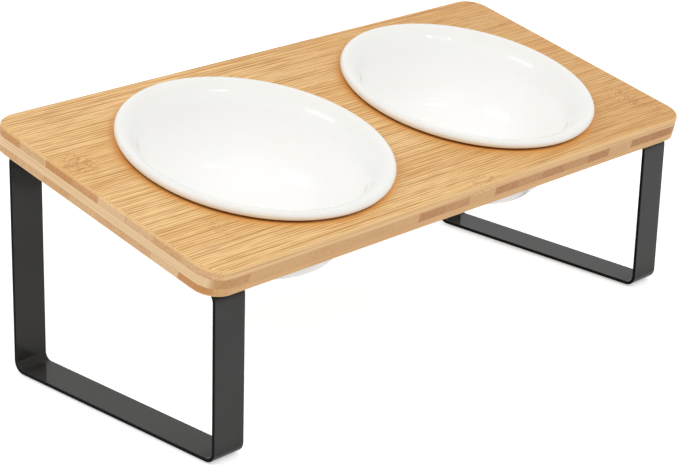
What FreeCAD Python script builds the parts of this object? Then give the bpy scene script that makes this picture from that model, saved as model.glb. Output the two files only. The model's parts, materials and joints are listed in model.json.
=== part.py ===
"""Elevated double cat bowl: a sloping bamboo board on two bent flat-bar leg frames, with two lift-out bowls.

Millimetres. +Z is up, +X runs along the board, the low front edge faces -Y.
The origin is on the floor, under the middle of the stand's outline.
"""
import FreeCAD, Part
import math
import os

# Bowls: a tapered wall, and a flared rim that ends in a round lip
neck_radius = 66.5
rim_overhang = 8.0
rim_slope_deg = 18.0
lip_round = 2.4
lip_gap = 1.1
throat_round = 14.0
rim_straight = 0.5
wall_thickness = 4.0
wall_draft_deg = 15.0
base_drop = 49.5
base_round = 12.0
floor_thickness = 4.5
floor_round = 28.0
foot_ring_inset = 2.0
foot_ring_width = 4.0
foot_ring_height = 1.2
foot_ring_round = 0.5

# Bowl holes, and the flat ring under each rim that rests on the board
hole_clearance = 0.8
hole_chamfer = 0.5
seat_bearing = 1.2
seat_round = 0.5

# Board: three bamboo plies, the outer two alike, laid out round the bowls' rims
rim_gap = 20.5
end_margin = 30.75
front_margin = 8.9
back_margin = 14.1
face_ply = 5.0
core_ply = 5.0
corner_radius = 13.5
edge_round = 2.0
tilt_deg = 12.8
board_mid_height = 109.4

# Leg frames: one bent flat bar each
bar_width = 20.0
bar_thickness = 2.0
bend_radius = 4.5
bar_edge_round = 0.35
frame_end_inset = 8.0
leg_front_inset = 5.0
leg_back_inset = 8.0

# Wood screws through the flanges
screw_radius = 2.0
screw_tip = 3.0
screw_cover = 5.0
screw_head_radius = 3.6
screw_head_height = 2.3
screw_head_round = 1.4
recess_length = 4.0
recess_width = 0.9
recess_depth = 1.3
screw_bend_gap = 4.0
screws_per_flange = 2
screw_pitch = 13.0
flange_end_margin = 9.0
flange_hole_clearance = 0.25
pilot_clearance = 0.05
pilot_extra_depth = 1.0

# Stick-on pads under the foot bars
pad_margin = 4.0
pad_thickness = 1.0
pad_inset = 24.0

# Values that follow from the sizes above
tilt = math.radians(tilt_deg)
rim_radius = neck_radius + rim_overhang
hole_radius = neck_radius + hole_clearance
bowl_spacing = 2 * rim_radius + rim_gap
bowl_shift = (front_margin - back_margin) / 2
board_length = bowl_spacing + 2 * rim_radius + 2 * end_margin
board_width = 2 * rim_radius + front_margin + back_margin
board_thickness = 2 * face_ply + core_ply
board_shift = board_thickness * math.sin(tilt) / 2
front_leg_v = leg_front_inset - board_width / 2
back_leg_v = board_width / 2 - leg_back_inset
frame_centre_x = board_length / 2 - frame_end_inset - bar_width / 2
screw_first = bend_radius + bar_thickness + screw_bend_gap + screw_head_radius
screw_length = bar_thickness + board_thickness - screw_cover
flange_length = screw_first + (screws_per_flange - 1) * screw_pitch + flange_end_margin
pad_radius = bar_width / 2 - pad_margin
SIDES = {"left": -1, "right": 1}

X_AXIS = FreeCAD.Vector(1, 0, 0)
Z_AXIS = FreeCAD.Vector(0, 0, 1)
ORIGIN = FreeCAD.Vector(0, 0, 0)
SAME_PLACE = 1e-6


def on_board(shape):
    """Place a shape from the board's own axes: u along, v up the slope, w up from its underside."""
    placed = shape.copy()
    placed.rotate(ORIGIN, X_AXIS, tilt_deg)
    placed.translate(FreeCAD.Vector(0, board_shift, board_mid_height))
    return placed


def board_point(v, w):
    """The (y, z) place of a point of the board's cross-section."""
    y = board_shift + v * math.cos(tilt) - w * math.sin(tilt)
    z = board_mid_height + v * math.sin(tilt) + w * math.cos(tilt)
    return (y, z)


def unit(start, end):
    length = math.dist(start, end)
    return ((end[0] - start[0]) / length, (end[1] - start[1]) / length)


def along(start, direction, distance):
    return (start[0] + direction[0] * distance, start[1] + direction[1] * distance)


def meet(p, p_direction, q, q_direction):
    """Where two lines in a plane cross."""
    cross = p_direction[0] * q_direction[1] - p_direction[1] * q_direction[0]
    reach = ((q[0] - p[0]) * q_direction[1] - (q[1] - p[1]) * q_direction[0]) / cross
    return along(p, p_direction, reach)


def offset_left(points, distance):
    """A bent line moved sideways to its left, with its corners kept sharp."""
    directions = [unit(a, b) for a, b in zip(points, points[1:])]
    shifted = [along(p, (-d[1], d[0]), distance) for p, d in zip(points, directions)]
    last = along(points[-1], (-directions[-1][1], directions[-1][0]), distance)
    inner = [
        meet(shifted[i], directions[i], shifted[i + 1], directions[i + 1])
        for i in range(len(directions) - 1)
    ]
    return [shifted[0]] + inner + [last]


def arc_edge(start, middle, end, to_space):
    return Part.Arc(to_space(start), to_space(middle), to_space(end)).toShape()


def line_edge(start, end, to_space):
    return Part.LineSegment(to_space(start), to_space(end)).toShape()


def rounded_chain(points, rounds, to_space):
    """Edges through the points, each inner corner rounded by its own radius, 0 keeping it sharp."""
    edges = []
    here = points[0]
    for before, corner, after, radius in zip(points, points[1:], points[2:], rounds):
        if radius == 0:
            edges.append(line_edge(here, corner, to_space))
            here = corner
            continue
        back = unit(corner, before)
        ahead = unit(corner, after)
        half = math.acos(back[0] * ahead[0] + back[1] * ahead[1]) / 2
        run = radius / math.tan(half)
        start = along(corner, back, run)
        end = along(corner, ahead, run)
        bisector = unit((0, 0), (back[0] + ahead[0], back[1] + ahead[1]))
        middle = along(corner, bisector, radius / math.sin(half) - radius)
        edges.append(line_edge(here, start, to_space))
        edges.append(arc_edge(start, middle, end, to_space))
        here = end
    edges.append(line_edge(here, points[-1], to_space))
    return edges


def section(point):
    """A radius and a height, as a point of the plane that a turned profile is drawn in."""
    return FreeCAD.Vector(point[0], 0, point[1])


def turned(edges):
    face = Part.Face(Part.Wire(edges))
    return face.revolve(ORIGIN, Z_AXIS, 360)


def edges_in_plane(shape, axis, place):
    """The edges whose ends both lie in the plane square to an axis, at that place along it."""
    return [e for e in shape.Edges if all(abs(v.Point.dot(axis) - place) < SAME_PLACE for v in e.Vertexes)]


def bowl_place(side):
    """The middle of a bowl's hole, on the board's top."""
    return FreeCAD.Vector(side * bowl_spacing / 2, bowl_shift, board_thickness)


def screw_places(side):
    """The screws of one frame, as points on the board's underside."""
    steps = [screw_first + i * screw_pitch for i in range(screws_per_flange)]
    rows = [front_leg_v + s for s in steps] + [back_leg_v - s for s in steps]
    return [FreeCAD.Vector(side * frame_centre_x, v, 0) for v in rows]


def ply(bottom, thickness, rounded_level=None):
    """One layer of the board, with the bowl holes and the screws' pilot holes."""
    corner = FreeCAD.Vector(-board_length / 2, -board_width / 2, bottom)
    blank = Part.makeBox(board_length, board_width, thickness, corner)
    uprights = [e for e in blank.Edges if abs(e.Vertexes[0].Z - e.Vertexes[1].Z) > thickness / 2]
    blank = blank.makeFillet(corner_radius, uprights)
    if rounded_level is not None:
        blank = blank.makeFillet(edge_round, edges_in_plane(blank, Z_AXIS, rounded_level))
    pilot_depth = screw_length - bar_thickness + pilot_extra_depth
    for side in SIDES.values():
        blank = blank.cut(hole_cutter(bowl_place(side)))
        for place in screw_places(side):
            blank = blank.cut(Part.makeCylinder(screw_radius + pilot_clearance, pilot_depth, place))
    return blank.Solids[0]


def hole_cutter(place):
    """A bowl hole through the whole board, with its upper edge broken."""
    floor = FreeCAD.Vector(place.x, place.y, -board_thickness)
    hole = Part.makeCylinder(hole_radius, 3 * board_thickness, floor)
    bevel_floor = FreeCAD.Vector(place.x, place.y, place.z - hole_chamfer)
    bevel = Part.makeCone(hole_radius, hole_radius + hole_chamfer, hole_chamfer, bevel_floor)
    return hole.fuse(bevel)


def bowl():
    """A bowl with its rim's seat at height 0, drawn as a half section and turned."""
    draft = math.radians(wall_draft_deg)
    slope = math.radians(rim_slope_deg)
    up_wall = (math.sin(draft), math.cos(draft))
    up_rim = (math.cos(slope), math.sin(slope))
    neck = (neck_radius, 0)
    seat_edge = (hole_radius + hole_chamfer + seat_bearing, 0)
    lip = (rim_radius - lip_round, lip_gap + lip_round)

    # The lip is a round edge, tangent to the rim's top and to the line from the seat
    lip_top = along(lip, (-up_rim[1], up_rim[0]), lip_round)
    reach = math.dist(seat_edge, lip)
    lift = math.atan2(lip[1], lip[0] - seat_edge[0]) - math.asin(lip_round / reach)
    lip_foot = along(seat_edge, (math.cos(lift), math.sin(lift)), math.sqrt(reach ** 2 - lip_round ** 2))

    # The wall's bend into a level base or floor takes this much of each, per millimetre of radius
    bend_run = math.tan((math.pi / 2 - draft) / 2)
    base = (0, -base_drop)
    base_corner = meet(neck, up_wall, base, (1, 0))
    foot_level = -base_drop - foot_ring_height
    foot_outside = base_corner[0] - base_round * bend_run - foot_ring_inset
    foot_inside = foot_outside - foot_ring_width
    inner_wall = along(neck, (-up_wall[1], up_wall[0]), wall_thickness)
    throat = meet(inner_wall, up_wall, lip_top, up_rim)

    # The throat's bend leaves at least a short straight of the rim's top
    throat_run = math.tan((math.pi / 2 - draft - slope) / 2)
    throat_bend = min(throat_round, (math.dist(lip_top, throat) - rim_straight) / throat_run)
    floor = (0, -base_drop + floor_thickness)
    floor_corner = meet(inner_wall, up_wall, floor, (1, 0))
    floor_bend = min(floor_round, (math.dist(floor_corner, throat) - throat_bend * throat_run) / bend_run)

    outside = [
        base,
        (foot_inside, -base_drop),
        (foot_inside, foot_level),
        (foot_outside, foot_level),
        (foot_outside, -base_drop),
        base_corner,
        neck,
        seat_edge,
        lip_foot,
    ]
    outside_rounds = [0, foot_ring_round, foot_ring_round, 0, base_round, seat_round, seat_round]
    inside = [lip_top, throat, floor_corner, floor]
    edges = rounded_chain(outside, outside_rounds, section)
    edges.append(arc_edge(lip_foot, (rim_radius, lip[1]), lip_top, section))
    edges += rounded_chain(inside, [throat_bend, floor_bend], section)
    edges.append(line_edge(floor, base, section))
    return turned(edges)


def bar_path():
    """The outer face of a leg frame's bar, as (y, z) corners from the front flange to the back one."""
    front_top = board_point(front_leg_v, 0)
    back_top = board_point(back_leg_v, 0)
    return [
        board_point(front_leg_v + flange_length, 0),
        front_top,
        (front_top[0], pad_thickness),
        (back_top[0], pad_thickness),
        back_top,
        board_point(back_leg_v - flange_length, 0),
    ]


def leg_frame(side):
    """A flat bar bent round, with its long edges eased and the flanges drilled."""
    start_x = side * frame_centre_x - bar_width / 2
    outer = bar_path()
    inner = offset_left(outer, bar_thickness)[::-1]
    corners = len(outer) - 2

    def in_space(point):
        return FreeCAD.Vector(start_x, point[0], point[1])

    edges = rounded_chain(outer, [bend_radius + bar_thickness] * corners, in_space)
    edges.append(line_edge(outer[-1], inner[0], in_space))
    edges += rounded_chain(inner, [bend_radius] * corners, in_space)
    edges.append(line_edge(inner[-1], outer[0], in_space))
    strip = Part.Face(Part.Wire(edges)).extrude(X_AXIS * bar_width)
    long_edges = [e for x in (start_x, start_x + bar_width) for e in edges_in_plane(strip, X_AXIS, x)]
    strip = strip.makeFillet(bar_edge_round, long_edges)
    for place in screw_places(side):
        below = place - Z_AXIS * 2 * bar_thickness
        drill = Part.makeCylinder(screw_radius + flange_hole_clearance, 3 * bar_thickness, below)
        strip = strip.cut(on_board(drill))
    return strip.Solids[0]


def screw():
    """A pan-head wood screw with the underside of its head at height 0."""
    head_top = -screw_head_height
    outline = [
        (0, head_top),
        (screw_head_radius, head_top),
        (screw_head_radius, 0),
        (screw_radius, 0),
        (screw_radius, screw_length - screw_tip),
        (0, screw_length),
    ]
    edges = rounded_chain(outline, [screw_head_round, 0, 0, 0], section)
    edges.append(line_edge(outline[-1], outline[0], section))
    body = turned(edges)
    for length, width in ((recess_length, recess_width), (recess_width, recess_length)):
        corner = FreeCAD.Vector(-length / 2, -width / 2, head_top)
        body = body.cut(Part.makeBox(length, width, recess_depth, corner))
    return body.Solids[0]


def leg_screws(side):
    """The screws that hold one leg frame, each against its flange."""
    group = []
    for place in screw_places(side):
        fitted = screw()
        fitted.translate(place - Z_AXIS * bar_thickness)
        group.append(on_board(fitted))
    return Part.makeCompound(group)


def foot_pads(side):
    """The pads under one frame's foot bar, each set in from its leg's outer face."""
    rows = {
        "front": board_point(front_leg_v, 0)[0] + pad_inset,
        "back": board_point(back_leg_v, 0)[0] - pad_inset,
    }
    places = {end: FreeCAD.Vector(side * frame_centre_x, y, 0) for end, y in rows.items()}
    return {end: Part.makeCylinder(pad_radius, pad_thickness, place) for end, place in places.items()}


def build():
    nodes = {
        "bottom_ply": on_board(ply(0, face_ply, rounded_level=0)),
        "core_ply": on_board(ply(face_ply, core_ply)),
        "top_ply": on_board(ply(face_ply + core_ply, face_ply, rounded_level=board_thickness)),
    }
    for name, side in SIDES.items():
        dish = bowl()
        dish.translate(bowl_place(side))
        nodes[name + "_bowl"] = on_board(dish)
        nodes[name + "_leg_frame"] = leg_frame(side)
        nodes[name + "_leg_screws"] = leg_screws(side)
        for end, pad in foot_pads(side).items():
            nodes[name + "_" + end + "_foot_pad"] = pad
    return nodes


os.makedirs("parts", exist_ok=True)
for node, shape in build().items():
    shape.exportStep("parts/" + node + ".step")
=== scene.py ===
"""Looks of the elevated double cat bowl: laminated bamboo, powder-coated flat bar and glazed bowls.

Metres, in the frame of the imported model: +X along the board, the low front edge towards -Y, +Z up.
"""
import json
import math

import bpy
from mathutils import Matrix, Quaternion, Vector


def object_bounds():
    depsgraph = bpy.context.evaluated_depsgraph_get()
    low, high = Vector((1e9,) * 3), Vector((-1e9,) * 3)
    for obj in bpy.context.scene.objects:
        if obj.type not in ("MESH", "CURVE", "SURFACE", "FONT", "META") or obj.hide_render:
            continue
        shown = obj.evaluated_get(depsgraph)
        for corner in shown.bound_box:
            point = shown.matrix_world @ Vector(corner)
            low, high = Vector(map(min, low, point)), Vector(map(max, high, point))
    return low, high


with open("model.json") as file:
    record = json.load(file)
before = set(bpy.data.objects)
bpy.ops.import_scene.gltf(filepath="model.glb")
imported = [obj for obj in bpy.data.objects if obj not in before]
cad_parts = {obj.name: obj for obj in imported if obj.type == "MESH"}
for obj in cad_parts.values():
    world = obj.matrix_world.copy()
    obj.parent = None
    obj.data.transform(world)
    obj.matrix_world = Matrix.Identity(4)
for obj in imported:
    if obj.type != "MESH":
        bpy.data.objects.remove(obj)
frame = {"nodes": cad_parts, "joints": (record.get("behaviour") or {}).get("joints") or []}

cad_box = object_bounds()
nodes = frame["nodes"]

# Camera, fitted to the photograph's edges and rims
CAMERA_PLACE = Vector((-0.835167, -0.766469, 0.478850))
CAMERA_AZIMUTH = math.radians(-46.967)
CAMERA_ELEVATION = math.radians(20.494)
CAMERA_ROLL = math.radians(1.585)
CAMERA_LENS = 114.542
SENSOR_WIDTH = 36.0

# Surround: how far up a direction points, from 0 level to 1 overhead, with its light, most half way up
SURROUND = [(0.0, 0.11), (0.30, 0.25), (0.50, 1.0), (0.70, 0.95), (0.92, 0.35)]
SURROUND_STRENGTH = 1.35
SURROUND_LEAN = Vector((-0.08, -0.24, 0.0))

# Lamps, a softbox on the left and a narrow strip in front, and the pale floor
KEY_DIRECTION = Vector((-0.69, 0.12, 0.71))
KEY_DISTANCE = 1.6
KEY_SIZE = (0.70, 0.50)
KEY_POWER = 2.4
STRIP_DIRECTION = Vector((0.07, -0.71, 0.70))
STRIP_DISTANCE = 1.5
STRIP_SIZE = (0.46, 0.012)
STRIP_ROLL = math.radians(-18.0)
STRIP_POWER = 1.7
FLOOR_ALBEDO = 0.92
FLOOR_LIFT = 0.47
FLOOR_HALF = 4.0

# Bamboo strips: their width, where the first one starts, and the tone of each, 0 dark to 9 light
FACE_STRIP = 0.0205
FACE_START = -0.104
TOP_FACES = "76587546653"
TOP_ENDS = "56479206135"
BOTTOM_FACES = "45476548563"
BOTTOM_ENDS = "50955646554"
CORE_STRIP = 0.0202
CORE_START = -0.2062
CORE_FACES = "5678567656785676567"
CORE_ENDS = "4599888924924241810"

# Painted shade: the board turns a little darker in colour towards its right end, where less light falls
SHADE_FROM = -0.06
SHADE_TO = 0.19
RIGHT_END_SHADE = 0.44
SIDE_RIGHT_END_SHADE = 0.35

# Knuckles, where a strip crosses a joint of the cane: along, across, half length, half width, strength
TOP_KNUCKLES = [
    (-0.1785, 0.028, 0.010, 0.011, 1.0),
    (0.171, -0.053, 0.009, 0.014, 1.0),
    (0.180, -0.074, 0.007, 0.008, 0.6),
    (0.176, 0.055, 0.006, 0.010, 0.45),
    (0.009, -0.086, 0.014, 0.008, 0.8),
    (-0.156, -0.053, 0.008, 0.009, 0.4),
]
BOTTOM_KNUCKLES = [
    (-0.120, 0.050, 0.008, 0.011, 0.9),
    (0.060, 0.074, 0.009, 0.010, 0.8),
    (0.135, -0.072, 0.008, 0.010, 0.8),
    (-0.030, -0.011, 0.008, 0.011, 0.8),
]

# A knuckle fades in between these shares of its half size, bends the fibres and covers part of the grain
KNUCKLE_OUTSIDE = 1.25
KNUCKLE_INSIDE = 0.45
KNUCKLE_BEND = 0.003
KNUCKLE_FLECK = 0.30
KNUCKLE_COVER = 0.62
KNUCKLE_CRACKS = (0.40, 0.54)

# Grain, as a noise with so many repeats in a metre along the fibres and across them
BROAD_GRAIN = (5.0, 520.0)
STRONG_GRAIN = (36.0, 900.0)
THREAD_GRAIN = (50.0, 3000.0)
BLUSH_GRAIN = (16.0, 110.0)
CRINKLE_GRAIN = (240.0, 1100.0)
CRINKLE_SWIRL = 0.9
PORE_GRAIN = 1500.0
GRAIN_ROUGHNESS = 0.6

# Each strip is cut from another place of the cane, up to this far along
CANE_LENGTH = 7.0

# A strip's tone is its own and a drift along it, and its range runs from the body colour to the pale one
DRIFT_ALONG = 6.0
DRIFT_PER_STRIP = 3.7
FACE_TONE = 0.6
DRIFT_TONE = 0.5
TONE_RANGE = (0.25, 0.85)

# How much the broad grain mottles the tone of the end grain
END_MOTTLE = 0.8

# Fibres: the distance between two, how far the broad grain pushes them, and what makes up the fine grain
FIBRE_PITCH = 0.0018
FIBRE_PUSH = 2.2
FINE_NOISE = 0.55
FINE_LINE = 0.24
FINE_LEVEL = 0.22

# Layers over the wood: the value where one starts, the value where it is full, and what it covers then
BLUSH_LAYER = (0.50, 0.72, 0.28)
BROAD_LAYER = (0.45, 0.75, 0.06)
FINE_LAYER = (0.50, 0.72, 0.80)
THREAD_LAYER = (0.52, 0.64, 0.60)
SIDE_LAYER = (0.45, 0.72, 0.40)
PORE_LAYER = (0.55, 0.70, 0.70)
SEAM_LAYER = (0.490, 0.499, 0.40)
# The glow and the dark line are painted light and shade: bounced light, then a shadow line, by a neighbour
PAINTED_GLOW_LAYER = (0.88, 0.50, 0.65)
PAINTED_SHADOW_LAYER = (0.42, 0.20, 0.92)

# How squarely a surface faces a way before it counts as side grain, end grain or a rounded edge
SIDE_FACING = (0.5, 0.9)
END_FACING = (0.5, 0.85)
EDGE_RISE = (0.12, 0.45)
EDGE_FALL = (0.97, 0.80)
# How far a rounded edge is sanded paler and given a painted highlight
EDGE_PALENESS_AND_HIGHLIGHT = 0.45

# Wood's gloss and relief
WOOD_ROUGHNESS = (0.40, 0.52)
WOOD_SPECULAR = 0.25
FIBRE_DEPTH = 0.6
WOOD_RELIEF = (0.25, 0.0003)

# How far off a neighbour still reaches for the painted light and shade: the painted warm glow and painted
# dark shadow line by a rim, the painted shade in a leg's corner
PAINTED_GLOW_REACH = 0.008
PAINTED_SHADOW_REACH = 0.0023
SHADED_CORNER_REACH = 0.020
REACH_SAMPLES = 6

# Glaze: how far in from the lip the rim's painted shade, a greyer tone, starts and is full, and how high
# the foot is bare
RIM_START = 0.0155
RIM_FULL = 0.0062
FOOT_GLAZED = 0.00060
FOOT_BARE = 0.00024
POOLING_SCALE = 22.0
POOLING_RANGE = (0.35, 0.70)
SPECK_SCALE = 900.0
RIPPLE_SCALE = 60.0
GLAZE_ROUGHNESS = (0.03, 0.05)
BARE_ROUGHNESS = 0.6
GLAZE_IOR = 1.5
GLAZE_RELIEF = (0.05, 0.0004)

# Powder coat: its peel and clouds, its painted shade on the narrow edges and in corners, and the thin
# gloss over it
PEEL_SCALE = 1300.0
PEEL_ROUGHNESS = 0.6
CLOUD_SCALE = 35.0
# Which faces and corners take the painted shade
SHADED_EDGE_FACING = (0.50, 0.95)
SHADED_CORNER_RANGE = (0.85, 0.50)
COAT_MOTTLE = (0.7, 1.3)
COAT_ROUGHNESS = (0.40, 0.50)
COAT_SPECULAR = 0.02
GLOSS_WEIGHT = 0.60
GLOSS_ROUGHNESS = 0.10
GLOSS_IOR = 1.3
COAT_RELIEF = (0.18, 0.0001)

# Screws
GRIME_SCALE = 450.0
GRIME_RANGE = (0.45, 0.75)
SCREW_ROUGHNESS = (0.34, 0.48)
SCREW_METAL = 0.5
SCREW_RELIEF = (0.10, 0.0001)

# Foot pads
FOAM_SCALE = 1800.0
FOAM_DETAIL_ROUGHNESS = 0.7
DUST_SCALE = 160.0
DUST_RANGE = (0.5, 0.8)
FOAM_ROUGHNESS = (0.78, 0.92)
FOAM_SPECULAR = 0.25
FOAM_RELIEF = (0.40, 0.0002)

# Most of a noise lies in this range, about its middle
NOISE_RANGE = (0.3, 0.7)
NOISE_MIDDLE = 0.5

# Colours, linear
HONEY_PALE = (0.93, 0.627, 0.284)
HONEY = (0.83, 0.488, 0.182)
HONEY_BLUSH = (0.87, 0.60, 0.335)
# Painted bounce light: the warm glow on the wood by a rim
PAINTED_BOUNCE_GLOW = (0.93, 0.43, 0.10)
HONEY_FIBRE = (0.50, 0.22, 0.05)
# Painted shade towards the board's right end
HONEY_PAINTED_SHADE = (0.66, 0.37, 0.128)
HONEY_SIDE = (0.83, 0.54, 0.275)
HONEY_SIDE_LOW = (0.725, 0.435, 0.200)
HONEY_END_DARK = (0.605, 0.280, 0.098)
HONEY_END_LIGHT = (0.825, 0.555, 0.310)
CREAM_PALE = (0.885, 0.620, 0.355)
CREAM = (0.785, 0.53, 0.285)
CREAM_FIBRE = (0.63, 0.39, 0.18)
CORE_END_DARK = (0.445, 0.188, 0.064)
CORE_END_LIGHT = (0.695, 0.410, 0.190)
# Painted shadow: the dark line on the wood under a rim
PAINTED_CREVICE_SHADOW = (0.20, 0.045, 0.003)
KNUCKLE_DARK = (0.42, 0.15, 0.025)
KNUCKLE_PALE = (0.90, 0.60, 0.26)
GLAZE = (0.978, 0.973, 0.955)
GLAZE_WARM = (0.970, 0.962, 0.940)
# Painted shade: the rim's greyer glaze
PAINTED_RIM_SHADE_GLAZE = (0.910, 0.903, 0.868)
BISCUIT = (0.72, 0.68, 0.60)
POWDER_COAT = (0.0400, 0.0400, 0.0393)
POWDER_COAT_LIGHT = (0.0445, 0.0445, 0.0437)
# Painted shade on the coat's narrow edges and in its corners
PAINTED_COAT_SHADE = (0.009, 0.009, 0.009)
SCREW_BLACK = (0.022, 0.022, 0.023)
SCREW_GREY = (0.045, 0.045, 0.046)
RUBBER = (0.018, 0.018, 0.018)
RUBBER_DUST = (0.045, 0.044, 0.042)


# The board's own axes, from the frame: along it, up its slope and out of its top
lift_axis = Vector(frame["joints"][0]["axis"])
tilt = math.atan2(-lift_axis.y, lift_axis.z)
board_turn = Matrix.Rotation(tilt, 3, "X")


def board_box(node):
    """A node's lowest and highest corners along the board's own axes."""
    points = [board_turn.transposed() @ v.co for v in nodes[node].data.vertices]
    low = Vector([min(p[i] for p in points) for i in range(3)])
    high = Vector([max(p[i] for p in points) for i in range(3)])
    return low, high


# The board's own origin is on its underside, in the middle of its length and width
board_low = board_box("bottom_ply")[0]
board_high = board_box("top_ply")[1]
board_origin = board_turn @ Vector((0, (board_low.y + board_high.y) / 2, board_low.z))
foot_level = board_box("left_bowl")[0].z - board_low.z


class Nodes:
    """A node tree, with short calls that add one node and give back its result."""

    def __init__(self, tree):
        self.tree = tree

    def add(self, kind, **settings):
        node = self.tree.nodes.new(kind)
        for name, value in settings.items():
            setattr(node, name, value)
        return node

    def feed(self, socket, value):
        """Links a socket to a result, or sets it to a number, a vector or a colour."""
        if isinstance(value, bpy.types.NodeSocket):
            self.tree.links.new(value, socket)
        elif isinstance(value, tuple) and socket.type == "RGBA":
            socket.default_value = (*value, 1.0)
        else:
            socket.default_value = value

    def feed_all(self, sockets, values):
        for socket, value in zip(sockets, values):
            self.feed(socket, value)

    def math(self, operation, *values):
        node = self.add("ShaderNodeMath", operation=operation)
        self.feed_all(node.inputs, values)
        return node.outputs[0]

    def plus(self, value, other):
        return self.math("ADD", value, other)

    def minus(self, value, other):
        return self.math("SUBTRACT", value, other)

    def times(self, value, other):
        return self.math("MULTIPLY", value, other)

    def over(self, value, other):
        return self.math("DIVIDE", value, other)

    def magnitude(self, value):
        return self.math("ABSOLUTE", value)

    def most(self, value, other):
        return self.math("MAXIMUM", value, other)

    def vector(self, operation, *values):
        node = self.add("ShaderNodeVectorMath", operation=operation)
        self.feed_all(node.inputs, values)
        return node.outputs["Value" if operation in ("LENGTH", "DOT_PRODUCT") else "Vector"]

    def split(self, vector):
        node = self.add("ShaderNodeSeparateXYZ")
        self.feed(node.inputs[0], vector)
        return node.outputs

    def join(self, x, y, z):
        node = self.add("ShaderNodeCombineXYZ")
        self.feed_all(node.inputs, (x, y, z))
        return node.outputs[0]

    def between(self, value, low, high, to_low=0.0, to_high=1.0):
        """Eases from to_low to to_high as the value goes from low to high."""
        node = self.add("ShaderNodeMapRange", interpolation_type="SMOOTHSTEP")
        self.feed_all(node.inputs, (value, low, high, to_low, to_high))
        return node.outputs[0]

    def spread(self, noise, ends):
        """Spreads a noise over the range between two ends."""
        return self.between(noise, *NOISE_RANGE, *ends)

    def ramp(self, factor, interpolation, stops):
        """A grey that follows the factor through stops, each a place from 0 to 1 and its grey."""
        node = self.add("ShaderNodeValToRGB")
        elements = node.color_ramp.elements
        node.color_ramp.interpolation = interpolation
        ready = len(elements)
        for i, (place, grey) in enumerate(stops):
            stop = elements[i] if i < ready else elements.new(place)
            stop.position = place
            stop.color = (grey, grey, grey, 1.0)
        self.feed(node.inputs["Fac"], factor)
        return node.outputs["Color"]

    def seen_white(self):
        """1 for what the camera sees straight, in a mirror or through glass, 0 for light on the object."""
        path = self.add("ShaderNodeLightPath").outputs
        seen = self.most(path["Is Camera Ray"], path["Is Glossy Ray"])
        return self.most(seen, path["Is Transmission Ray"])


class Finish(Nodes):
    """A material on one shader, with the textures and coordinates that finishes are made of."""

    def __init__(self, name):
        self.material = bpy.data.materials.new(name)
        self.material.use_nodes = True
        super().__init__(self.material.node_tree)
        self.tree.nodes.clear()
        self.surface = self.add("ShaderNodeBsdfPrincipled")
        output = self.add("ShaderNodeOutputMaterial")
        self.feed(output.inputs["Surface"], self.surface.outputs["BSDF"])

    def set(self, **values):
        """Sets or links the surface's sockets, named with _ for a space."""
        for name, value in values.items():
            self.feed(self.surface.inputs[name.replace("_", " ")], value)

    def bump(self, height, relief):
        """Gives the surface a relief, by its strength and its depth."""
        node = self.add("ShaderNodeBump")
        strength, depth = relief
        self.feed(node.inputs["Height"], height)
        self.feed(node.inputs["Strength"], strength)
        self.feed(node.inputs["Distance"], depth)
        self.set(Normal=node.outputs["Normal"])

    def mix(self, factor, low, high):
        node = self.add("ShaderNodeMix", data_type="RGBA")
        self.feed(node.inputs["Factor"], factor)
        self.feed(node.inputs[6], low)
        self.feed(node.inputs[7], high)
        return node.outputs[2]

    def cover(self, under, value, layer, colour):
        """Lays a colour over what is under it, as far as the value is into the layer's range."""
        start, full, share = layer
        return self.mix(self.between(value, start, full, 0.0, share), under, colour)

    def noise(self, vector, scale=1.0, detail=2.0, roughness=0.5, distortion=0.0):
        node = self.add("ShaderNodeTexNoise")
        self.feed(node.inputs["Vector"], vector)
        self.feed(node.inputs["Scale"], scale)
        self.feed(node.inputs["Detail"], detail)
        self.feed(node.inputs["Roughness"], roughness)
        self.feed(node.inputs["Distortion"], distortion)
        return node.outputs["Fac"]

    def random(self, number):
        node = self.add("ShaderNodeTexWhiteNoise", noise_dimensions="1D")
        self.feed(node.inputs["W"], number)
        return node.outputs["Value"]

    def tones(self, share, digits):
        """Even steps as the share goes from 0 to 1, each as grey as its digit, 0 to 9."""
        stops = [(i / len(digits), int(digit) / 9) for i, digit in enumerate(digits)]
        return self.ramp(share, "CONSTANT", stops)

    def openness(self, reach):
        """1 in the open, less where other surfaces crowd in closer than reach."""
        node = self.add("ShaderNodeAmbientOcclusion", samples=REACH_SAMPLES)
        self.feed(node.inputs["Distance"], reach)
        return node.outputs["AO"]

    def place(self):
        """A point of the object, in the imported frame."""
        return self.add("ShaderNodeTexCoord").outputs["Object"]

    def facing(self):
        """The surface's direction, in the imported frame."""
        return self.add("ShaderNodeTexCoord").outputs["Normal"]

    def on_board(self, vector, origin=(0, 0, 0)):
        """A direction, or a point seen from the origin, in the board's own axes."""
        turn = self.add("ShaderNodeMapping", vector_type="TEXTURE")
        self.feed(turn.inputs["Vector"], vector)
        self.feed(turn.inputs["Location"], origin)
        self.feed(turn.inputs["Rotation"], (tilt, 0, 0))
        return turn.outputs["Vector"]


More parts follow.
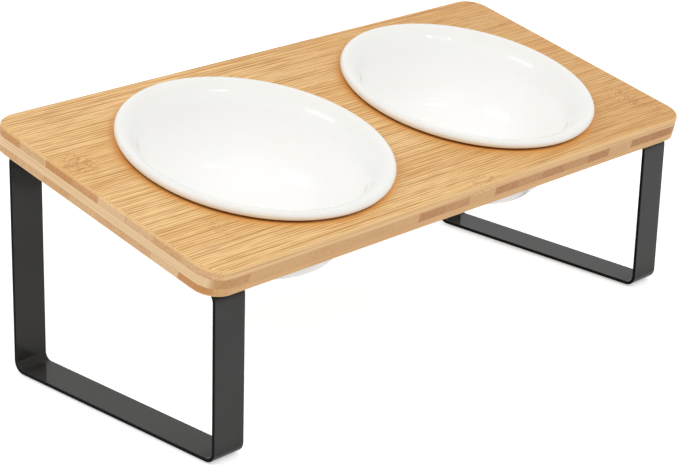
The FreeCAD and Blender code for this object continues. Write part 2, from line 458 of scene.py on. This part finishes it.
class Bamboo(Finish):
    """Flat-pressed bamboo strips side by side, with long fibres, paler sides and darker end grain."""

    def __init__(self, name, grain_axis, strips, colours, knuckles):
        super().__init__(name)
        self.colours = colours
        point = self.split(self.on_board(self.place(), board_origin))
        facing = self.split(self.on_board(self.facing()))
        self.along = point[grain_axis]
        self.across = point[1 - grain_axis]
        self.height = point[2]
        # Painted shade, darker towards the board's right end
        self.right_shade = self.between(point[0], SHADE_FROM, SHADE_TO, 0.0, RIGHT_END_SHADE)
        self.find_strip(*strips)
        self.find_knuckles(knuckles)
        self.lay_fibres()

        side_share = self.between(self.magnitude(facing[1 - grain_axis]), *SIDE_FACING)
        end_share = self.between(self.magnitude(facing[grain_axis]), *END_FACING)
        colour = self.mix(side_share, self.long_grain(), self.side_grain())
        colour = self.mix(end_share, colour, self.end_grain())
        colour = self.pale_and_highlight_edges(colour, self.magnitude(facing[2]))
        colour = self.draw_seams(colour)
        colour = self.paint_crevice_light_and_shade(colour)
        self.set(
            Base_Color=colour,
            Roughness=self.spread(self.fine, WOOD_ROUGHNESS),
            Specular_IOR_Level=WOOD_SPECULAR,
        )
        crackle = self.times(self.crinkle, self.knuckle)
        self.bump(self.plus(self.times(self.fine, -FIBRE_DEPTH), crackle), WOOD_RELIEF)

    def find_strip(self, width, start, face_tones, end_tones):
        """Which strip a point is in, the strip's tones and its own stretch of cane."""
        self.strip = self.over(self.minus(self.across, start), width)
        self.number = self.math("FLOOR", self.strip)
        self.lot = self.random(self.number)
        share = self.over(self.strip, float(len(face_tones)))
        self.face_tone = self.tones(share, face_tones)
        self.end_tone = self.tones(share, end_tones)

    def find_knuckles(self, knuckles):
        """How far inside a knuckle a point is, and the crinkle that bends the fibres there."""
        self.knuckle = 0.0
        for at_along, at_across, half_length, half_width, strength in knuckles:
            offset = self.join(
                self.over(self.minus(self.along, at_along), half_length),
                self.over(self.minus(self.across, at_across), half_width),
                0.0,
            )
            distance = self.vector("LENGTH", offset)
            mask = self.between(distance, KNUCKLE_OUTSIDE, KNUCKLE_INSIDE, 0.0, strength)
            self.knuckle = self.most(self.knuckle, mask)
        self.crinkle = self.noise(
            self.grain_place(CRINKLE_GRAIN), roughness=GRAIN_ROUGHNESS, distortion=CRINKLE_SWIRL
        )
        sway = self.minus(self.crinkle, NOISE_MIDDLE)
        bend = self.times(sway, self.times(self.knuckle, KNUCKLE_BEND))
        self.wavy = self.plus(self.across, bend)

    def grain_place(self, grain):
        """A point of a strip's face, stretched to a grain."""
        per_length, per_width = grain
        return self.join(self.times(self.along, per_length), self.times(self.across, per_width), self.lot)

    def fibres(self, grain, detail):
        """A noise drawn out along the fibres."""
        per_length, per_width = grain
        cane_place = self.plus(self.along, self.times(self.lot, CANE_LENGTH))
        place = self.join(
            self.times(cane_place, per_length),
            self.times(self.wavy, per_width),
            self.times(self.height, per_width),
        )
        return self.noise(place, detail=detail, roughness=GRAIN_ROUGHNESS)

    def lay_fibres(self):
        """The broad grain, the fine grain, which is lines of uneven strength, and the threads in it."""
        self.broad = self.fibres(BROAD_GRAIN, 2.0)
        self.thread = self.fibres(THREAD_GRAIN, 1.0)
        strength = self.fibres(STRONG_GRAIN, 1.0)
        turns = self.plus(self.over(self.wavy, FIBRE_PITCH), self.times(self.broad, FIBRE_PUSH))
        turns = self.plus(turns, self.over(self.height, FIBRE_PITCH))
        line = self.math("SINE", self.times(turns, math.tau))
        level = self.math("MULTIPLY_ADD", line, FINE_LINE, FINE_LEVEL)
        self.fine = self.math("MULTIPLY_ADD", strength, FINE_NOISE, level)

    def long_grain(self):
        """A drifting body colour, with dark fibres and pale ones between them."""
        fibre = self.colours["fibre"]
        drift_place = self.join(
            self.times(self.along, DRIFT_ALONG), self.times(self.number, DRIFT_PER_STRIP), self.lot
        )
        drift = self.noise(drift_place, detail=1.0)
        light = self.plus(self.times(self.face_tone, FACE_TONE), self.times(drift, DRIFT_TONE))
        paleness = self.between(self.minus(light, self.right_shade), *TONE_RANGE)
        grain = self.mix(paleness, self.colours["body"], self.colours["pale"])
        grain = self.mix(self.right_shade, grain, HONEY_PAINTED_SHADE)
        grain = self.cover(grain, self.noise(self.grain_place(BLUSH_GRAIN)), BLUSH_LAYER, HONEY_BLUSH)
        grain = self.cover(grain, self.broad, BROAD_LAYER, fibre)
        grain = self.cover(grain, self.fine, FINE_LAYER, fibre)
        grain = self.cover(grain, self.thread, THREAD_LAYER, fibre)
        fleck = self.mix(KNUCKLE_FLECK, grain, KNUCKLE_PALE)
        crackle = self.mix(self.between(self.crinkle, *KNUCKLE_CRACKS), KNUCKLE_DARK, fleck)
        return self.mix(self.times(self.knuckle, KNUCKLE_COVER), grain, crackle)

    def side_grain(self):
        """The strips' own edges, where the fibres show less."""
        grain = self.mix(self.times(self.right_shade, SIDE_RIGHT_END_SHADE), self.colours["side"], HONEY_PAINTED_SHADE)
        return self.cover(grain, self.fine, SIDE_LAYER, self.colours["fibre"])

    def end_grain(self):
        """The cut ends of the strips, each of its own tone, with dark pores."""
        mottle = self.times(self.minus(self.broad, NOISE_MIDDLE), END_MOTTLE)
        tone = self.plus(self.end_tone, mottle)
        grain = self.mix(tone, self.colours["end_dark"], self.colours["end_light"])
        pore_place = self.join(
            0.0, self.times(self.across, PORE_GRAIN), self.times(self.height, PORE_GRAIN)
        )
        pores = self.noise(pore_place, detail=1.0)
        return self.cover(grain, pores, PORE_LAYER, self.colours["fibre"])

    def pale_and_highlight_edges(self, colour, upright):
        """Sanded paler, and given a painted highlight, where the board's edge is rounded over."""
        sanded_and_lit = self.times(self.between(upright, *EDGE_RISE), self.between(upright, *EDGE_FALL))
        return self.mix(self.times(sanded_and_lit, EDGE_PALENESS_AND_HIGHLIGHT), colour, self.colours["pale"])

    def draw_seams(self, colour):
        """The glue line between two strips."""
        off_middle = self.magnitude(self.minus(self.math("FRACT", self.strip), 0.5))
        return self.cover(colour, off_middle, SEAM_LAYER, self.colours["fibre"])

    def paint_crevice_light_and_shade(self, colour):
        """Painted light and shade where a neighbour crowds in: a painted warm glow of bounced light, then
        a painted dark shadow line.
        """
        colour = self.cover(colour, self.openness(PAINTED_GLOW_REACH), PAINTED_GLOW_LAYER, PAINTED_BOUNCE_GLOW)
        return self.cover(colour, self.openness(PAINTED_SHADOW_REACH), PAINTED_SHADOW_LAYER, PAINTED_CREVICE_SHADOW)


def glazed_ceramic(name, node):
    """Warm white glaze, greyer on the rim as painted shade, and a bare ring at the foot."""
    s = Finish(name)
    point = s.on_board(s.place(), board_origin)
    low, high = board_box(node)
    middle = (low + high) / 2 - board_turn.transposed() @ board_origin
    outward = s.vector("MULTIPLY", s.vector("SUBTRACT", point, middle), Vector((1, 1, 0)))
    lip = (high.x - low.x) / 2
    # Painted shade: the rim, lit more than the inside, is greyer
    rim = s.between(s.vector("LENGTH", outward), lip - RIM_START, lip - RIM_FULL)
    bare = s.between(s.split(point)[2], foot_level + FOOT_GLAZED, foot_level + FOOT_BARE)
    pooling = s.noise(point, scale=POOLING_SCALE)
    speck = s.noise(point, scale=SPECK_SCALE, detail=1.0)
    ripple = s.noise(point, scale=RIPPLE_SCALE, detail=1.0)
    glaze = s.mix(s.between(pooling, *POOLING_RANGE), GLAZE, GLAZE_WARM)
    glaze = s.mix(rim, glaze, PAINTED_RIM_SHADE_GLAZE)
    biscuit = s.mix(speck, BISCUIT, GLAZE_WARM)
    s.set(
        Base_Color=s.mix(bare, glaze, biscuit),
        Roughness=s.plus(s.spread(ripple, GLAZE_ROUGHNESS), s.times(bare, BARE_ROUGHNESS)),
        IOR=GLAZE_IOR,
    )
    s.bump(s.plus(ripple, s.times(bare, speck)), GLAZE_RELIEF)
    return s.material


def powder_coat(name):
    """Satin black with a fine peel under a thin gloss, with painted shade on the narrow edges and in inner
    corners.
    """
    s = Finish(name)
    point = s.place()
    peel = s.noise(point, scale=PEEL_SCALE, roughness=PEEL_ROUGHNESS)
    cloud = s.noise(point, scale=CLOUD_SCALE, detail=3.0)
    # Painted shade: the narrow edges turned along the board and the corners darken to near black
    edge = s.between(s.magnitude(s.split(s.facing())[0]), *SHADED_EDGE_FACING)
    corner = s.between(s.openness(SHADED_CORNER_REACH), *SHADED_CORNER_RANGE)
    coat = s.mix(s.between(cloud, *NOISE_RANGE), POWDER_COAT, POWDER_COAT_LIGHT)
    s.set(
        Base_Color=s.mix(s.most(edge, corner), coat, PAINTED_COAT_SHADE),
        Roughness=s.between(s.plus(peel, cloud), *COAT_MOTTLE, *COAT_ROUGHNESS),
        Specular_IOR_Level=COAT_SPECULAR,
        Coat_Weight=s.between(edge, 0.0, 1.0, GLOSS_WEIGHT, 0.0),
        Coat_Roughness=GLOSS_ROUGHNESS,
        Coat_IOR=GLOSS_IOR,
    )
    s.bump(peel, COAT_RELIEF)
    return s.material


def black_screw(name):
    """Black oxide on a screw, worn to grey in places."""
    s = Finish(name)
    grime = s.noise(s.place(), scale=GRIME_SCALE, detail=3.0)
    s.set(
        Base_Color=s.mix(s.between(grime, *GRIME_RANGE), SCREW_BLACK, SCREW_GREY),
        Roughness=s.spread(grime, SCREW_ROUGHNESS),
        Metallic=SCREW_METAL,
    )
    s.bump(grime, SCREW_RELIEF)
    return s.material


def foam_rubber(name):
    """Matt black foam rubber with open pores and a little dust."""
    s = Finish(name)
    point = s.place()
    pores = s.noise(point, scale=FOAM_SCALE, roughness=FOAM_DETAIL_ROUGHNESS)
    dust = s.noise(point, scale=DUST_SCALE, detail=3.0)
    s.set(
        Base_Color=s.mix(s.between(dust, *DUST_RANGE), RUBBER, RUBBER_DUST),
        Roughness=s.spread(pores, FOAM_ROUGHNESS),
        Specular_IOR_Level=FOAM_SPECULAR,
    )
    s.bump(pores, FOAM_RELIEF)
    return s.material


def dress(node, material):
    """Gives a node of the frame its finish."""
    slots = nodes[node].data.materials
    slots.clear()
    slots.append(material)


def dress_board():
    """The top and bottom plies run along the board, and the core between them runs across it."""
    honey = {
        "pale": HONEY_PALE, "body": HONEY, "fibre": HONEY_FIBRE, "side": HONEY_SIDE,
        "end_dark": HONEY_END_DARK, "end_light": HONEY_END_LIGHT,
    }
    cream = {
        "pale": CREAM_PALE, "body": CREAM, "fibre": CREAM_FIBRE, "side": CREAM_PALE,
        "end_dark": CORE_END_DARK, "end_light": CORE_END_LIGHT,
    }
    honey_low = {**honey, "side": HONEY_SIDE_LOW}
    top_strips = (FACE_STRIP, FACE_START, TOP_FACES, TOP_ENDS)
    bottom_strips = (FACE_STRIP, FACE_START, BOTTOM_FACES, BOTTOM_ENDS)
    core_strips = (CORE_STRIP, CORE_START, CORE_FACES, CORE_ENDS)
    dress("top_ply", Bamboo("bamboo_top", 0, top_strips, honey, TOP_KNUCKLES).material)
    dress("bottom_ply", Bamboo("bamboo_bottom", 0, bottom_strips, honey_low, BOTTOM_KNUCKLES).material)
    dress("core_ply", Bamboo("bamboo_core", 1, core_strips, cream, []).material)


def dress_rest():
    """The bowls, and the legs with their screws and pads, found by how their names end."""
    finishes = {
        "left_bowl": glazed_ceramic("left_white_glaze", "left_bowl"),
        "right_bowl": glazed_ceramic("right_white_glaze", "right_bowl"),
        "_leg_frame": powder_coat("black_powder_coat"),
        "_leg_screws": black_screw("black_screw"),
        "_foot_pad": foam_rubber("foot_pad_rubber"),
    }
    for node in nodes:
        for ending, material in finishes.items():
            if node.endswith(ending):
                dress(node, material)


def link(thing):
    bpy.context.scene.collection.objects.link(thing)
    return thing


def make_world():
    """A surround that is white to the eye, and lights the object most from half way up."""
    world = bpy.data.worlds.new("surround")
    bpy.context.scene.world = world
    world.use_nodes = True
    n = Nodes(world.node_tree)
    toward = n.add("ShaderNodeTexCoord").outputs["Generated"]
    sky = n.ramp(n.split(toward)["Z"], "EASE", SURROUND)
    lean = n.vector("DOT_PRODUCT", toward, SURROUND_LEAN)
    strength = n.math("MULTIPLY_ADD", lean, SURROUND_STRENGTH, SURROUND_STRENGTH)
    light = n.times(sky, strength)
    background = world.node_tree.nodes["Background"]
    n.feed(background.inputs["Color"], (1.0, 1.0, 1.0))
    n.feed(background.inputs["Strength"], n.between(n.seen_white(), 0.0, 1.0, light, 1.0))


def make_floor():
    """A wide pale floor that takes the object's shadow and is white to the camera elsewhere."""
    mesh = bpy.data.meshes.new("floor")
    corners = [(x * FLOOR_HALF, y * FLOOR_HALF, 0.0) for x, y in ((-1, -1), (1, -1), (1, 1), (-1, 1))]
    mesh.from_pydata(corners, [], [(0, 1, 2, 3)])
    floor = link(bpy.data.objects.new("floor", mesh))
    material = bpy.data.materials.new("floor_paper")
    material.use_nodes = True
    n = Nodes(material.node_tree)
    n.tree.nodes.clear()
    paper = n.add("ShaderNodeBsdfDiffuse")
    n.feed(paper.inputs["Color"], (FLOOR_ALBEDO, FLOOR_ALBEDO, FLOOR_ALBEDO))
    glow = n.add("ShaderNodeEmission")
    n.feed(glow.inputs["Strength"], n.times(n.seen_white(), FLOOR_LIFT))
    both = n.add("ShaderNodeAddShader")
    n.feed_all(both.inputs, (paper.outputs[0], glow.outputs[0]))
    output = n.add("ShaderNodeOutputMaterial")
    n.feed(output.inputs["Surface"], both.outputs[0])
    mesh.materials.append(material)


def make_light(name, direction, distance, size, power, roll=0.0):
    """A rectangular lamp that looks back at the middle of the object."""
    lamp = bpy.data.lights.new(name, "AREA")
    lamp.shape = "RECTANGLE"
    lamp.size = size[0]
    lamp.size_y = size[1]
    lamp.energy = power
    holder = link(bpy.data.objects.new(name, lamp))
    middle = (cad_box[0] + cad_box[1]) / 2
    holder.location = middle + direction.normalized() * distance
    holder.rotation_mode = "QUATERNION"
    holder.rotation_quaternion = (-direction).to_track_quat("-Z", "Y") @ Quaternion((0, 0, 1), roll)


def make_camera():
    """The photograph's view of the object."""
    camera = bpy.data.cameras.new("camera")
    camera.sensor_width = SENSOR_WIDTH
    camera.lens = CAMERA_LENS
    holder = link(bpy.data.objects.new("camera", camera))
    level = math.cos(CAMERA_ELEVATION)
    back = Vector((
        math.sin(CAMERA_AZIMUTH) * level,
        -math.cos(CAMERA_AZIMUTH) * level,
        math.sin(CAMERA_ELEVATION),
    ))
    holder.location = CAMERA_PLACE
    holder.rotation_mode = "QUATERNION"
    holder.rotation_quaternion = (-back).to_track_quat("-Z", "Y") @ Quaternion((0, 0, 1), CAMERA_ROLL)
    bpy.context.scene.camera = holder


dress_board()
dress_rest()
make_world()
make_floor()
make_light("softbox", KEY_DIRECTION, KEY_DISTANCE, KEY_SIZE, KEY_POWER)
make_light("strip_lamp", STRIP_DIRECTION, STRIP_DISTANCE, STRIP_SIZE, STRIP_POWER, STRIP_ROLL)
make_camera()
bpy.context.scene.view_settings.view_transform = "Standard"
